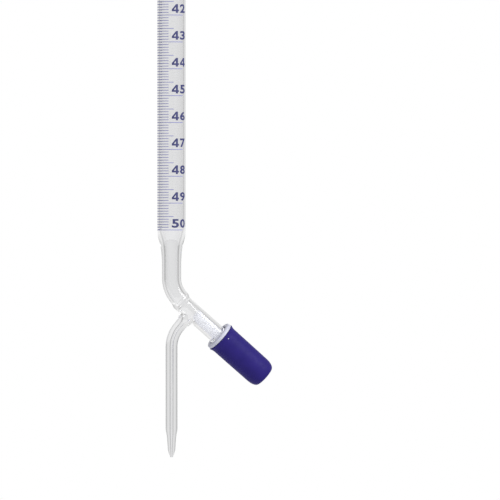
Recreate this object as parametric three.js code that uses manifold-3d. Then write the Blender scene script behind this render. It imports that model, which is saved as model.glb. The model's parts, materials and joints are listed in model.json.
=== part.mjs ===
// A 50 mL laboratory burette with a screw-down PTFE valve on a side arm.
//
// Millimetres, +Z up. The origin is on the tube's axis, at the middle of the plain neck that a
// clamp grips. The scale faces -Y, and the valve's arm slopes down towards +X.
//
// Fixed:  measuring_tube, shoulder_bend, valve_barrel, outlet_elbow and delivery_jet, which are
//         made from separate lengths of glass and flame-welded end to end.
// Moving: valve_spindle, o_ring_front, o_ring_rear, retaining_ring, cap_liner and handle_cap,
//         which screw along the arm together.

import * as THREE from 'three';
import { mergeVertices } from 'three/addons/utils/BufferGeometryUtils.js';
import Module from 'manifold-3d';

const wasm = await Module();
wasm.setup();

// ---- Driving dimensions ----------------------------------------------------------------------

const VOLUME_ML = 50;
const SCALE_LENGTH = 590;
const RIM_Z = 44;
const ZERO_LINE_Z = -45;
const LAST_LINE_Z = ZERO_LINE_Z - SCALE_LENGTH;

// 1 mL is 1000 mm³, so the scale's length fixes the bore.
const TUBE_BORE_RADIUS = Math.sqrt((1000 * VOLUME_ML) / (Math.PI * SCALE_LENGTH));
const TUBE_RADIUS = 6.25;
const TUBE_END_Z = LAST_LINE_Z - 0.6;

// The arm's axis crosses the tube's axis at the vertex. The glass is worked by hand, so the bend
// runs into the arm a little above the arm's own axis: its axes cross higher up.
const VERTEX_Z = LAST_LINE_Z - 27.9;
const BEND_VERTEX_Z = VERTEX_Z + 0.9;
const ARM_SLOPE = THREE.MathUtils.degToRad(41);
const SEAM = 5.4;
const BEND_ANGLE = Math.PI / 2 - ARM_SLOPE;
const BEND_TANGENT = SEAM + (BEND_VERTEX_Z - VERTEX_Z) * Math.sin(ARM_SLOPE);
const BEND_RADIUS = BEND_TANGENT / Math.tan(BEND_ANGLE / 2);
const NECK_RADIUS = 4.2;
const NECK_BORE_RADIUS = 2.75;

// Places along the arm are distances from the vertex.
const WELD_GAP = 0.3;
const BARREL_RADIUS = 4;
const BARREL_BORE_RADIUS = 2.65;
const BARREL_END = 39.4;
const SEAT_RADIUS = 2.1;

const OUTLET_AT = 12.2;
const OUTLET_HOLE_RADIUS = 1.3;
const OUTLET_FLARE_RADIUS = 3.3;
const JET_RADIUS = 2.6;
const JET_BORE_RADIUS = 0.6;
const ELBOW_RADIUS = 13.5;
const ELBOW_END_Z = -688;
const TIP_Z = -735;

// The thread is a round bead wound at one pitch on the barrel and inside the liner.
const THREAD_PITCH = 2.5;
const THREAD_BEAD_RADIUS = 0.65;
const THREAD_FROM = 26.9;
const THREAD_TURNS = 4;
const LINER_THREAD_TURNS = 3.6;

// The cap, and all that turns with it.
const CAP_RIM = 29.4;
const CAP_LENGTH = 26.5;
const CAP_END = CAP_RIM + CAP_LENGTH;
const CAP_RIM_RADIUS = 7;
const CAP_NECK_RADIUS = 6.55;
const CAP_BACK_RADIUS = 6.43;
const CAP_CORNER = new THREE.Vector2(2, 4.5);
const CAP_BORE_RADIUS = 5.65;
const CAP_BORE_END = CAP_RIM + 17.9;
const POCKET_RADIUS = 3.45;
const POCKET_END = CAP_BORE_END + 3.2;
const SOCKET_SIDE = 3.8;
const SOCKET_END = POCKET_END + 3.4;
const RING_GROOVE = { from: CAP_BORE_END + 0.4, to: CAP_BORE_END + 1.3, radius: 3.9 };
const RETAINING_RING = { thickness: 0.6, inner: 2.35, outer: 3.75, gap: 0.35 };

const LINER_FRONT = CAP_RIM - 1.8;
const LINER_END = CAP_RIM + 10.5;
const LINER_BORE_RADIUS = 5.05;
const LINER_RADIUS = 5.55;
const LINER_COLLAR_RADIUS = 6.8;
const LINER_THREAD_FROM = CAP_RIM + 0.5;

const SPINDLE_RADIUS = 2.56;
const SPINDLE_NOSE = 13.9;
const SHANK_RADIUS = 2.2;
const SHANK_FROM = CAP_BORE_END - 3.4;
const COLLAR_RADIUS = 3.2;
const COLLAR_FROM = RING_GROOVE.to + 0.05;
const COLLAR_TO = POCKET_END - 0.3;
const TANG_SIDE = SOCKET_SIDE - 0.2;
const TANG_END = SOCKET_END - 0.3;

const O_RING_PLACES = { o_ring_front: 30.4, o_ring_rear: 33.4 };
const O_RING_SECTION = 0.45;
const O_RING_RADIUS = 2.14;
const GROOVE_RADIUS = 1.6;
const GROOVE_HALF_WIDTH = 0.65;

// ---- Materials -------------------------------------------------------------------------------

function glass() {
  return new THREE.MeshStandardMaterial({
    color: 0xdfe6e4, roughness: 0.03, metalness: 0, transparent: true, opacity: 0.4,
  });
}

function plastic(color, roughness) {
  return new THREE.MeshStandardMaterial({ color, roughness, metalness: 0 });
}

// ---- Shape helpers ---------------------------------------------------------------------------

// Turns an outline of [radius, height] points about +Z. The outline runs up the outside and down
// the inside, and closes on itself when it doesn't end on the axis.
function turned(outline, segments) {
  const points = outline.map(([radius, height]) => new THREE.Vector2(radius, height));
  const onAxis = points[0].x === 0 && points.at(-1).x === 0;
  if (!onAxis) points.push(points[0].clone());
  return new THREE.LatheGeometry(points, segments).rotateX(Math.PI / 2);
}

// Heights from start to end in equal steps, both ends included.
function steps(start, end, count) {
  return Array.from({ length: count + 1 }, (_, i) => THREE.MathUtils.lerp(start, end, i / count));
}

// Points [radius, height] of a smooth curve through a few given ones.
function smooth(points, divisions) {
  const curve = new THREE.SplineCurve(points.map(([r, h]) => new THREE.Vector2(r, h)));
  return curve.getPoints(divisions).map((p) => [p.x, p.y]);
}

// Bends a shape that stands along +Z towards +X, from height start on, round an arc of a radius
// and an angle. What lies past the arc goes on straight.
function bend(geometry, start, radius, angle) {
  const place = geometry.attributes.position;
  for (let i = 0; i < place.count; i += 1) {
    const height = place.getZ(i) - start;
    const turn = THREE.MathUtils.clamp(height / radius, 0, angle);
    const rest = height - radius * turn;
    const reach = radius - place.getX(i);
    place.setX(i, radius - reach * Math.cos(turn) + rest * Math.sin(turn));
    place.setZ(i, start + reach * Math.sin(turn) + rest * Math.cos(turn));
  }
  return geometry;
}

class Helix extends THREE.Curve {
  constructor(radius, pitch, turns, start, phase) {
    super();
    Object.assign(this, { radius, pitch, turns, start, phase });
  }

  getPoint(t, target = new THREE.Vector3()) {
    const turn = t * this.turns;
    const angle = 2 * Math.PI * (turn + this.phase);
    const x = this.radius * Math.cos(angle);
    const y = this.radius * Math.sin(angle);
    return target.set(x, y, this.start + this.pitch * turn);
  }
}

// A round bead along a helix. The phase at each end follows from where the thread starts, so two
// threads of the same pitch keep step. lag shifts a thread by a share of a turn.
function threadBead(radius, from, turns, lag) {
  const phase = from / THREAD_PITCH + lag;
  const path = new Helix(radius, THREAD_PITCH, turns, from, phase);
  const section = new THREE.Shape(
    steps(0, 2 * Math.PI, 6).slice(1).map((a) => new THREE.Vector2(
      THREAD_BEAD_RADIUS * Math.cos(a),
      THREAD_BEAD_RADIUS * Math.sin(a),
    )),
  );
  return new THREE.ExtrudeGeometry(section, { steps: Math.round(turns * 16), extrudePath: path });
}

function toSolid(geometry) {
  geometry.deleteAttribute('normal');
  geometry.deleteAttribute('uv');
  const merged = mergeVertices(geometry);
  return new wasm.Manifold(new wasm.Mesh({
    numProp: 3,
    vertProperties: new Float32Array(merged.attributes.position.array),
    triVerts: new Uint32Array(merged.index.array),
  }));
}

function toGeometry(solid) {
  const mesh = solid.getMesh();
  const geometry = new THREE.BufferGeometry();
  geometry.setAttribute('position', new THREE.BufferAttribute(mesh.vertProperties, 3));
  geometry.setIndex(new THREE.BufferAttribute(mesh.triVerts, 1));
  geometry.computeVertexNormals();
  return geometry;
}

function named(name, geometry, material) {
  const mesh = new THREE.Mesh(geometry, material);
  mesh.name = name;
  return mesh;
}

// ---- Glass -----------------------------------------------------------------------------------

// The plain tube that holds the scale, open at the top, with a fire-polished rim. The rim's top
// is a flat ring.
function measuringTube() {
  const outline = [
    [TUBE_BORE_RADIUS, TUBE_END_Z],
    [TUBE_RADIUS, TUBE_END_Z],
    [TUBE_RADIUS, RIM_Z - 3],
    [TUBE_RADIUS + 0.18, RIM_Z - 1],
    [TUBE_RADIUS + 0.08, RIM_Z - 0.3],
    [TUBE_RADIUS - 0.25, RIM_Z],
    [TUBE_BORE_RADIUS + 0.25, RIM_Z],
    [TUBE_BORE_RADIUS, RIM_Z - 0.6],
  ];
  return named('measuring_tube', turned(outline, 48), glass());
}

// The shoulder drawn down from the tube, and the bend that leads it into the arm. It is turned
// straight, with its height measured down the tube's axis, and then bent.
function shoulderBend() {
  const depth = (z) => TUBE_END_Z - z;
  const bendStart = depth(BEND_VERTEX_Z + BEND_TANGENT);
  const bendEnd = bendStart + BEND_RADIUS * BEND_ANGLE;
  const shoulder = smooth([
    [TUBE_RADIUS, 0.9],
    [5.7, 3.9],
    [4.9, 6.6],
    [4.5, 9.4],
    [NECK_RADIUS, 13.4],
  ], 7);
  const throat = smooth([
    [TUBE_BORE_RADIUS, 0],
    [4.2, 1.7],
    [3.2, 3.6],
    [NECK_BORE_RADIUS, 6],
  ], 6);
  const arc = steps(bendStart, bendEnd, 9);
  const outline = [
    [TUBE_RADIUS, 0],
    ...shoulder,
    ...arc.slice(0, -2).map((height) => [NECK_RADIUS, height]),
    [NECK_RADIUS + 0.08, arc.at(-2)],
    [NECK_RADIUS - 0.1, bendEnd],
    [SEAT_RADIUS, bendEnd],
    [NECK_BORE_RADIUS - 0.1, arc.at(-2)],
    ...arc.slice(0, -2).reverse().map((height) => [NECK_BORE_RADIUS, height]),
    ...throat.reverse(),
  ];
  const geometry = bend(turned(outline, 28), bendStart, BEND_RADIUS, BEND_ANGLE);
  geometry.rotateX(Math.PI);
  const mesh = named('shoulder_bend', geometry, glass());
  mesh.position.z = TUBE_END_Z;
  return mesh;
}

// The barrel on the arm: a conical seat, the outlet's hole, and a thread moulded outside.
function valveBarrel() {
  const outline = [
    [SEAT_RADIUS, SEAM + WELD_GAP],
    [BARREL_RADIUS - 0.1, SEAM + WELD_GAP],
    [BARREL_RADIUS, SEAM + 1],
    [BARREL_RADIUS, BARREL_END - 0.5],
    [BARREL_RADIUS - 0.4, BARREL_END],
    [BARREL_BORE_RADIUS + 0.3, BARREL_END],
    [BARREL_BORE_RADIUS, BARREL_END - 0.4],
    [BARREL_BORE_RADIUS, SEAM + 1.6],
    [SEAT_RADIUS, SEAM + 0.8],
  ];
  const bead = threadBead(BARREL_RADIUS - 0.1, THREAD_FROM, THREAD_TURNS, 0);
  const hole = new THREE.CylinderGeometry(OUTLET_HOLE_RADIUS, OUTLET_HOLE_RADIUS, 6, 16);
  hole.rotateZ(Math.PI / 2).translate(4, 0, OUTLET_AT);
  const solid = toSolid(turned(outline, 32)).add(toSolid(bead)).subtract(toSolid(hole));
  return named('valve_barrel', toGeometry(solid), glass());
}

// The capillary that leaves the barrel square to the arm and turns down to the tube's own axis.
// Its root flares onto the barrel and is cut to the barrel's curve.
function outletElbow() {
  const toAxis = OUTLET_AT / Math.tan(ARM_SLOPE);
  const tangent = ELBOW_RADIUS * Math.tan(ARM_SLOPE / 2);
  const bendStart = toAxis - tangent;
  const bendEnd = bendStart + ELBOW_RADIUS * ARM_SLOPE;
  const bendEndZ = VERTEX_Z - OUTLET_AT / Math.sin(ARM_SLOPE) - tangent;
  const end = bendEnd + bendEndZ - ELBOW_END_Z;
  const root = BARREL_RADIUS - 1;
  const arc = steps(bendStart, bendEnd, 7);
  const outline = [
    [OUTLET_HOLE_RADIUS, root],
    [OUTLET_FLARE_RADIUS, root],
    [OUTLET_FLARE_RADIUS, BARREL_RADIUS + 0.3],
    [JET_RADIUS + 0.2, BARREL_RADIUS + 1.6],
    [JET_RADIUS, BARREL_RADIUS + 3.4],
    ...arc.map((height) => [JET_RADIUS, height]),
    [JET_RADIUS, end],
    [JET_BORE_RADIUS, end],
    ...arc.reverse().map((height) => [JET_BORE_RADIUS, height]),
    [JET_BORE_RADIUS, BARREL_RADIUS + 2.6],
    [OUTLET_HOLE_RADIUS, BARREL_RADIUS + 0.8],
  ];
  const tube = bend(turned(outline, 20), bendStart, ELBOW_RADIUS, ARM_SLOPE);
  tube.applyMatrix4(new THREE.Matrix4().makeBasis(
    new THREE.Vector3(0, 0, 1),
    new THREE.Vector3(0, -1, 0),
    new THREE.Vector3(1, 0, 0),
  ));
  tube.translate(0, 0, OUTLET_AT);
  const cutRadius = BARREL_RADIUS + WELD_GAP;
  const barrel = new THREE.CylinderGeometry(cutRadius, cutRadius, 20, 32);
  barrel.rotateX(Math.PI / 2).translate(0, 0, OUTLET_AT);
  const solid = toSolid(tube).subtract(toSolid(barrel));
  return named('outlet_elbow', toGeometry(solid), glass());
}

// The straight jet below the elbow, drawn down to a blunt tip with a fine hole.
function deliveryJet() {
  const outline = [
    [0.4, TIP_Z],
    [0.75, TIP_Z + 0.15],
    [1.15, TIP_Z + 1.1],
    [1.6, TIP_Z + 3],
    [1.72, TIP_Z + 4.6],
    [2, TIP_Z + 8.4],
    [2.4, TIP_Z + 10.6],
    [JET_RADIUS, TIP_Z + 12.4],
    [JET_RADIUS, ELBOW_END_Z],
    [JET_BORE_RADIUS, ELBOW_END_Z],
    [JET_BORE_RADIUS, TIP_Z + 12],
    [0.35, TIP_Z + 4],
    [0.3, TIP_Z + 0.3],
  ];
  return named('delivery_jet', turned(outline, 24), glass());
}

// ---- Valve -----------------------------------------------------------------------------------

// The PTFE spindle: a blunt nose for the seat, two grooves for the rings, a thin shank, a collar,
// and a square tang that the cap turns.
function valveSpindle() {
  const grooves = Object.values(O_RING_PLACES).flatMap((place) => [
    [SPINDLE_RADIUS, place - GROOVE_HALF_WIDTH],
    [GROOVE_RADIUS, place - GROOVE_HALF_WIDTH],
    [GROOVE_RADIUS, place + GROOVE_HALF_WIDTH],
    [SPINDLE_RADIUS, place + GROOVE_HALF_WIDTH],
  ]);
  const outline = [
    [0, SPINDLE_NOSE],
    [1.9, SPINDLE_NOSE],
    [SPINDLE_RADIUS, SPINDLE_NOSE + 0.7],
    ...grooves,
    [SPINDLE_RADIUS, SHANK_FROM],
    [SHANK_RADIUS, SHANK_FROM + 0.4],
    [SHANK_RADIUS, COLLAR_FROM],
    [COLLAR_RADIUS, COLLAR_FROM],
    [COLLAR_RADIUS, COLLAR_TO],
    [0, COLLAR_TO],
  ];
  const tangFrom = COLLAR_TO - 0.5;
  const tang = new THREE.BoxGeometry(TANG_SIDE, TANG_SIDE, TANG_END - tangFrom);
  tang.translate(0, 0, (tangFrom + TANG_END) / 2);
  const solid = toSolid(turned(outline, 32)).add(toSolid(tang));
  return named('valve_spindle', toGeometry(solid), plastic(0xf1f2fa, 0.35));
}

function oRing(name, place) {
  const geometry = new THREE.TorusGeometry(O_RING_RADIUS, O_RING_SECTION, 6, 24);
  geometry.translate(0, 0, place);
  return named(name, geometry, plastic(0x232326, 0.6));
}

// The split ring that sits in a groove in the cap and holds the spindle's collar in its pocket.
function retainingRing() {
  const { thickness, inner, outer, gap } = RETAINING_RING;
  const outline = new THREE.Shape();
  outline.absarc(0, 0, outer, gap, 2 * Math.PI - gap, false);
  outline.absarc(0, 0, inner, 2 * Math.PI - gap, gap, true);
  const geometry = new THREE.ExtrudeGeometry(outline, {
    depth: thickness, bevelEnabled: false, curveSegments: 10,
  });
  geometry.translate(0, 0, (RING_GROOVE.from + RING_GROOVE.to - thickness) / 2);
  return named('retaining_ring', geometry, plastic(0xd8d9dc, 0.4));
}

// The white threaded bush inside the cap. Its collar shows as a ring at the cap's mouth.
function capLiner() {
  const outline = [
    [LINER_BORE_RADIUS + 0.05, LINER_FRONT],
    [LINER_COLLAR_RADIUS - 0.8, LINER_FRONT],
    [LINER_COLLAR_RADIUS - 0.3, LINER_FRONT + 0.4],
    [LINER_COLLAR_RADIUS, CAP_RIM - 0.2],
    [LINER_RADIUS, CAP_RIM - 0.2],
    [LINER_RADIUS, LINER_END],
    [LINER_BORE_RADIUS, LINER_END],
    [LINER_BORE_RADIUS, LINER_FRONT + 0.2],
  ];
  const bead = threadBead(LINER_BORE_RADIUS - 0.05, LINER_THREAD_FROM, LINER_THREAD_TURNS, 0.5);
  const solid = toSolid(turned(outline, 32)).add(toSolid(bead));
  return named('cap_liner', toGeometry(solid), plastic(0xf6f6fb, 0.4));
}

// The blue cap that the hand turns: a flared mouth, a long plain grip, rounded at the closed end.
// Inside are the liner's bore, the groove for the retaining ring, the collar's pocket and the
// square socket for the tang.
function handleCap() {
  const flare = new THREE.QuadraticBezierCurve(
    new THREE.Vector2(CAP_RIM_RADIUS, CAP_RIM + 0.3),
    new THREE.Vector2(CAP_NECK_RADIUS, CAP_RIM + 0.9),
    new THREE.Vector2(CAP_NECK_RADIUS, CAP_RIM + 3),
  ).getPoints(4);
  const corner = new THREE.EllipseCurve(
    CAP_BACK_RADIUS - CAP_CORNER.x,
    CAP_END - CAP_CORNER.y,
    CAP_CORNER.x,
    CAP_CORNER.y,
    0,
    Math.PI / 2,
  ).getPoints(5);
  const outline = [
    [0, POCKET_END],
    [POCKET_RADIUS, POCKET_END],
    [POCKET_RADIUS, RING_GROOVE.to],
    [RING_GROOVE.radius, RING_GROOVE.to],
    [RING_GROOVE.radius, RING_GROOVE.from],
    [POCKET_RADIUS, RING_GROOVE.from],
    [POCKET_RADIUS, CAP_BORE_END],
    [CAP_BORE_RADIUS, CAP_BORE_END],
    [CAP_BORE_RADIUS, CAP_RIM],
    [CAP_RIM_RADIUS - 0.2, CAP_RIM],
    ...flare.map((p) => [p.x, p.y]),
    ...corner.map((p) => [p.x, p.y]),
    [0, CAP_END],
  ];
  const socket = new THREE.BoxGeometry(SOCKET_SIDE, SOCKET_SIDE, SOCKET_END - CAP_BORE_END);
  socket.translate(0, 0, (SOCKET_END + CAP_BORE_END) / 2);
  const solid = toSolid(turned(outline, 40)).subtract(toSolid(socket));
  return named('handle_cap', toGeometry(solid), plastic(0x38317f, 0.45));
}

// ---- Assembly --------------------------------------------------------------------------------

// The arm's group has its +Z down along the arm, from the vertex, and its +X square to the arm,
// down and back towards the tube's axis.
const arm = new THREE.Group();
arm.position.z = VERTEX_Z;
arm.rotation.y = Math.PI / 2 + ARM_SLOPE;
arm.add(
  valveBarrel(),
  outletElbow(),
  valveSpindle(),
  ...Object.entries(O_RING_PLACES).map(([name, place]) => oRing(name, place)),
  retainingRing(),
  capLiner(),
  handleCap(),
);

const group = new THREE.Group();
group.add(measuringTube(), shoulderBend(), deliveryJet(), arm);

export default group;
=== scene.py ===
"""The looks of a 50 mL burette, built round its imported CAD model.

Blender works in metres, in the CAD's frame: +Z up, the origin on the tube's axis. Shapes here are worked
out in millimetres. What lies on the valve's arm uses the arm's own frame: Z runs down the arm from the
point where its axis crosses the tube's, X is square to it, down and back towards the tube, and Y is the
CAD's Y. The camera looks at the lower end, as in the left half of the photograph.
"""

import json
import math

import bmesh
import bpy
import numpy as np
from mathutils import Matrix, Vector


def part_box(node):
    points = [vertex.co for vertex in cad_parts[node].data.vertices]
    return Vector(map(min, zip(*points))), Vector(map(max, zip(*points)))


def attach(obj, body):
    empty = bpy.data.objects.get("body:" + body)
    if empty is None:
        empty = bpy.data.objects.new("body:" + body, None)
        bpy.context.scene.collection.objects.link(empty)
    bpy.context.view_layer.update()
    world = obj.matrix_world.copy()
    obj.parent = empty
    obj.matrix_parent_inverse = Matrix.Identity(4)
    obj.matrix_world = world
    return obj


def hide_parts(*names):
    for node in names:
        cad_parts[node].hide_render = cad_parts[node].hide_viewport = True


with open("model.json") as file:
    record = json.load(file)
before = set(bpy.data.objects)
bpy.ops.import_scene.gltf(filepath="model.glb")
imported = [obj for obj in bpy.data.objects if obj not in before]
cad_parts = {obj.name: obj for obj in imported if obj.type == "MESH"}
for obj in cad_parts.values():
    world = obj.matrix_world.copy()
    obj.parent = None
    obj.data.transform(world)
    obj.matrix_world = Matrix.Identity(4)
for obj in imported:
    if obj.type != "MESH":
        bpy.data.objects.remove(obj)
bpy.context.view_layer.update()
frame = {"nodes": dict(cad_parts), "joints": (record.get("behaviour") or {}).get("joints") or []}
MM = 0.001

# ---- Places from the CAD -----------------------------------------------------------------------

CAP_JOINT = next(j for j in frame["joints"] if j["name"] == "cap_turn")
VERTEX = Vector(CAP_JOINT["pos_m"])
ALONG = Vector(CAP_JOINT["axis"])
ACROSS = Vector((ALONG.z, 0, -ALONG.x))
SIDE = Vector((0, 1, 0))
ARM = Matrix.Translation(VERTEX) @ Matrix((ACROSS, SIDE, ALONG)).transposed().to_4x4()
ARM_SLOPE = math.asin(-ALONG.z)
ARM_TURN = math.pi / 2 + ARM_SLOPE

VERTEX_Z = VERTEX.z / MM

# The rim and the tip stay this far inside the CAD's, so that the box does too.
INSET = 0.01
RIM_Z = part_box("measuring_tube")[1].z / MM - INSET
TIP_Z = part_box("delivery_jet")[0].z / MM + INSET

# ---- Driving dimensions, in millimetres ----------------------------------------------------------
# They are the CAD's, apart from the seat's end and the thread's width, which are softer here.

VOLUME_ML = 50
SCALE_LENGTH = 590
ZERO_LINE_Z = -45
LAST_LINE_Z = ZERO_LINE_Z - SCALE_LENGTH
ML = SCALE_LENGTH / VOLUME_ML

TUBE_RADIUS = 6.25
TUBE_BORE_RADIUS = math.sqrt(1000 * VOLUME_ML / (math.pi * SCALE_LENGTH))
NECK_RADIUS = 4.2
NECK_BORE_RADIUS = 2.75

SEAM = 5.4
BEND_RISE = 0.9
BEND_TANGENT = SEAM + BEND_RISE * math.sin(ARM_SLOPE)
BEND_RADIUS = BEND_TANGENT / math.tan((math.pi / 2 - ARM_SLOPE) / 2)
BEND_OFFSET = BEND_RISE * math.cos(ARM_SLOPE)

BARREL_RADIUS = 4
BARREL_BORE_RADIUS = 2.65
BARREL_END = 39.4
SEAT_RADIUS = 2.1
SEAT_TO = 6.8

OUTLET_AT = 12.2
JET_RADIUS = 2.6
JET_BORE_RADIUS = 0.6
ELBOW_RADIUS = 13.5

THREAD_PITCH = 2.5
THREAD_FROM = 26.9
THREAD_TO = 36.9
THREAD_HEIGHT = 0.55
THREAD_HALF_WIDTH = 0.9

SPINDLE_RADIUS = 2.56
SPINDLE_NOSE = 13.9
SHANK_RADIUS = 2.2
COLLAR_RADIUS = 3.2
TANG_HALF_SIDE = 1.8
O_RING_PLACES = {"front": 30.4, "rear": 33.4}

CAP_RIM = 29.4
CAP_END = 55.9
CAP_RIM_RADIUS = 7
CAP_NECK_RADIUS = 6.55
CAP_BACK_RADIUS = 6.43
CAP_BORE_RADIUS = 5.65
CAP_BORE_END = 47.3
POCKET_RADIUS = 3.45
POCKET_END = 50.5
SOCKET_SIDE = 3.8
SOCKET_END = 53.9

# ---- Shape helpers -----------------------------------------------------------------------------


def smooth_curve(points, steps):
    """Points of a Catmull-Rom curve through a few given points, with both ends."""
    p = np.array([points[0], *points, points[-1]], float)
    made = []
    for a, b, c, d in zip(p, p[1:], p[2:], p[3:], strict=False):
        for t in np.linspace(0, 1, steps, endpoint=False):
            bend = (2 * a - 5 * b + 4 * c - d) * t**2 + (3 * b - a - 3 * c + d) * t**3
            made.append((2 * b + (c - a) * t + bend) / 2)
    return [*made, p[-1]]


def arc(centre, radii, start, end, steps):
    """Points of an arc of an ellipse, with its angles in degrees."""
    angles = np.radians(np.linspace(start, end, steps + 1))
    return [
        (centre[0] + radii[0] * math.cos(a), centre[1] + radii[1] * math.sin(a))
        for a in angles
    ]


def eased(x, start, end):
    """0 before start, 1 after end, and smooth between them."""
    t = np.clip((x - start) / (end - start), 0, 1)
    return t * t * (3 - 2 * t)


def rings(outline, segments):
    """Rings of points round Z for an outline of (radius, height) points: an array of ring, segment, xyz."""
    radius, height = np.array(outline, float).T
    angles = np.arange(segments) * 2 * math.pi / segments
    grid = np.empty((len(radius), segments, 3))
    grid[..., 0] = radius[:, None] * np.cos(angles)
    grid[..., 1] = radius[:, None] * np.sin(angles)
    grid[..., 2] = height[:, None]
    return grid


def grow(grid, extra):
    """Moves each point of some rings away from Z by extra."""
    radius = np.hypot(grid[..., 0], grid[..., 1])
    grid[..., :2] *= ((radius + extra) / radius)[..., None]
    return grid


def thread(grid, start, end, height, half_width, lag=0.0):
    """The height at each point of some rings of a round thread wound about Z, which fades at its ends."""
    turn = np.arctan2(grid[..., 1], grid[..., 0]) / (2 * math.pi)
    phase = grid[..., 2] / THREAD_PITCH + lag - turn
    off = (phase - np.round(phase)) * THREAD_PITCH
    crest = grid[..., 2] - off
    strength = eased(crest, start, start + 0.8) * eased(-crest, -end, 0.8 - end)
    profile = np.cos(np.clip(off / half_width, -1, 1) * math.pi / 2) ** 2
    return height * strength * profile


class Skin:
    """The vertices and faces of one closed mesh as it is put together."""

    def __init__(self):
        self.points = []
        self.faces = []

    def add(self, points):
        """Adds points and returns their numbers, in the same shape."""
        flat = np.asarray(points, float).reshape(-1, 3)
        first = len(self.points)
        self.points.extend(flat)
        return np.arange(first, first + len(flat)).reshape(np.shape(points)[:-1])

    def add_rings(self, grid):
        """Adds rings joined by quads, and returns the numbers of the first and the last ring."""
        ids = self.add(grid)
        turned = np.roll(ids, -1, axis=1)
        quads = np.stack([ids[:-1], turned[:-1], turned[1:], ids[1:]], axis=-1)
        self.faces.extend(quads.reshape(-1, 4).tolist())
        return ids[0], ids[-1]

    def cap(self, ring, centre):
        """Closes a ring with triangles to a point."""
        (middle,) = self.add([centre])
        pairs = zip(ring, np.roll(ring, -1), strict=True)
        self.faces.extend([int(a), int(b), int(middle)] for a, b in pairs)

    def zip_loops(self, loop_a, angles_a, loop_b, angles_b):
        """Joins two loops about one axis with triangles. Their points may differ in number."""
        a, turn_a = in_order(loop_a, angles_a)
        b, turn_b = in_order(loop_b, angles_b)
        i = j = 0
        while i < len(a) - 1 or j < len(b) - 1:
            if j == len(b) - 1 or (i < len(a) - 1 and turn_a[i + 1] <= turn_b[j + 1]):
                self.faces.append([a[i], a[i + 1], b[j]])
                i += 1
            else:
                self.faces.append([a[i], b[j + 1], b[j]])
                j += 1

    def mesh(self, name, transform):
        """The Blender mesh in metres, with its faces outwards and smooth."""
        mesh = bpy.data.meshes.new(name)
        mesh.from_pydata([Vector(p) * MM for p in self.points], [], self.faces)
        mesh.transform(transform)
        faces_outwards(mesh)
        mesh.shade_smooth()
        return mesh


def in_order(loop, angles):
    """A loop's points in order of angle, closed by its first point, with the angles."""
    order = np.argsort(angles)
    turned = np.append(angles[order], angles[order[0]] + 2 * math.pi)
    return [int(loop[k]) for k in [*order, order[0]]], turned


def faces_outwards(mesh):
    work = bmesh.new()
    work.from_mesh(mesh)
    bmesh.ops.recalc_face_normals(work, faces=work.faces)
    work.to_mesh(mesh)
    work.free()


def put(name, mesh, body, material, replaces=()):
    """Puts a mesh into the scene as a piece that rides on a CAD body."""
    piece = bpy.data.objects.new(name, mesh)
    bpy.context.scene.collection.objects.link(piece)
    mesh.materials.clear()
    mesh.materials.append(material)
    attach(piece, body)
    if replaces:
        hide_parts(*replaces)
    return piece


def turned_mesh(name, outline, segments, shape=None, place=ARM):
    """A closed body turned about the arm, or about Z of another place, from an outline that starts and ends
    on the axis, or that closes on itself. shape may change the rings first."""
    skin = Skin()
    solid = outline[0][0] == 0
    body = outline[1:-1] if solid else [*outline, outline[0]]
    grid = rings(body, segments)
    if shape:
        grid = shape(grid)
    if solid:
        first, last = skin.add_rings(grid)
        skin.cap(first, (0, 0, outline[0][1]))
        skin.cap(last, (0, 0, outline[-1][1]))
    else:
        ids = skin.add(grid[:-1])
        closed = np.concatenate([ids, ids[:1]])
        turned = np.roll(closed, -1, axis=1)
        quads = np.stack([closed[:-1], turned[:-1], turned[1:], closed[1:]], axis=-1)
        skin.faces.extend(quads.reshape(-1, 4).tolist())
    return skin.mesh(name, place)


# ---- Distance fields for the worked glass --------------------------------------------------------
# Where the bend, the barrel and the outlet run into each other, the glass has been melted together. Its
# outer skin and its bore are the zero levels of smooth distance fields, given at points of the arm's frame.


def length(*parts):
    return np.sqrt(sum(part * part for part in parts))


def melted(a, b, reach):
    """The smaller of two distances, with a fillet where both are within reach of each other."""
    share = np.clip(reach - np.abs(a - b), 0, None) / reach
    return np.minimum(a, b) - share * share * reach / 4


def cut(a, b, reach):
    """The larger of two distances, with a rounded edge."""
    return -melted(-a, -b, reach)


def from_bend(x, y, z):
    """The distance from the middle of the neck and the bend."""
    level = -z * math.sin(ARM_SLOPE) - x * math.cos(ARM_SLOPE)
    out = z * math.cos(ARM_SLOPE) - x * math.sin(ARM_SLOPE)
    reach = length(z - SEAM, x + BEND_OFFSET + BEND_RADIUS)
    straight = level > BEND_RISE + BEND_TANGENT
    return np.where(straight, length(out, y), length(reach - BEND_RADIUS, y))


def outer_field(x, y, z):
    bend = cut(from_bend(x, y, z) - NECK_RADIUS, z - SEAM - 0.9, 1.6)
    barrel = cut(length(x, y) - BARREL_RADIUS, SEAM - 1 - z, 1)
    jet = length(z - OUTLET_AT, y) - JET_RADIUS - 0.35 * (1 - eased(x, 5, 8.5))
    stub = cut(jet, -x, 1)
    return melted(melted(bend, barrel, 1.3), stub, 2.8)


def bore_field(x, y, z):
    bend = cut(from_bend(x, y, z) - NECK_BORE_RADIUS, z - SEAM + 0.2, 0.7)
    seat = cut(length(x + 0.3, y) - SEAT_RADIUS, z - SEAT_TO - 0.5, 0.3)
    seat = cut(seat, SEAM - 1 - z, 0.3)
    barrel = cut(length(x, y) - BARREL_BORE_RADIUS, SEAT_TO - 0.6 - z, 1)
    narrowing = 0.85 * (1 - eased(x, 4.2, 6.8))
    outlet = cut(length(z - OUTLET_AT, y) - JET_BORE_RADIUS - narrowing, -x, 0.3)
    return melted(melted(melted(bend, seat, 0.5), barrel, 0.6), outlet, 1.1)


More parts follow.
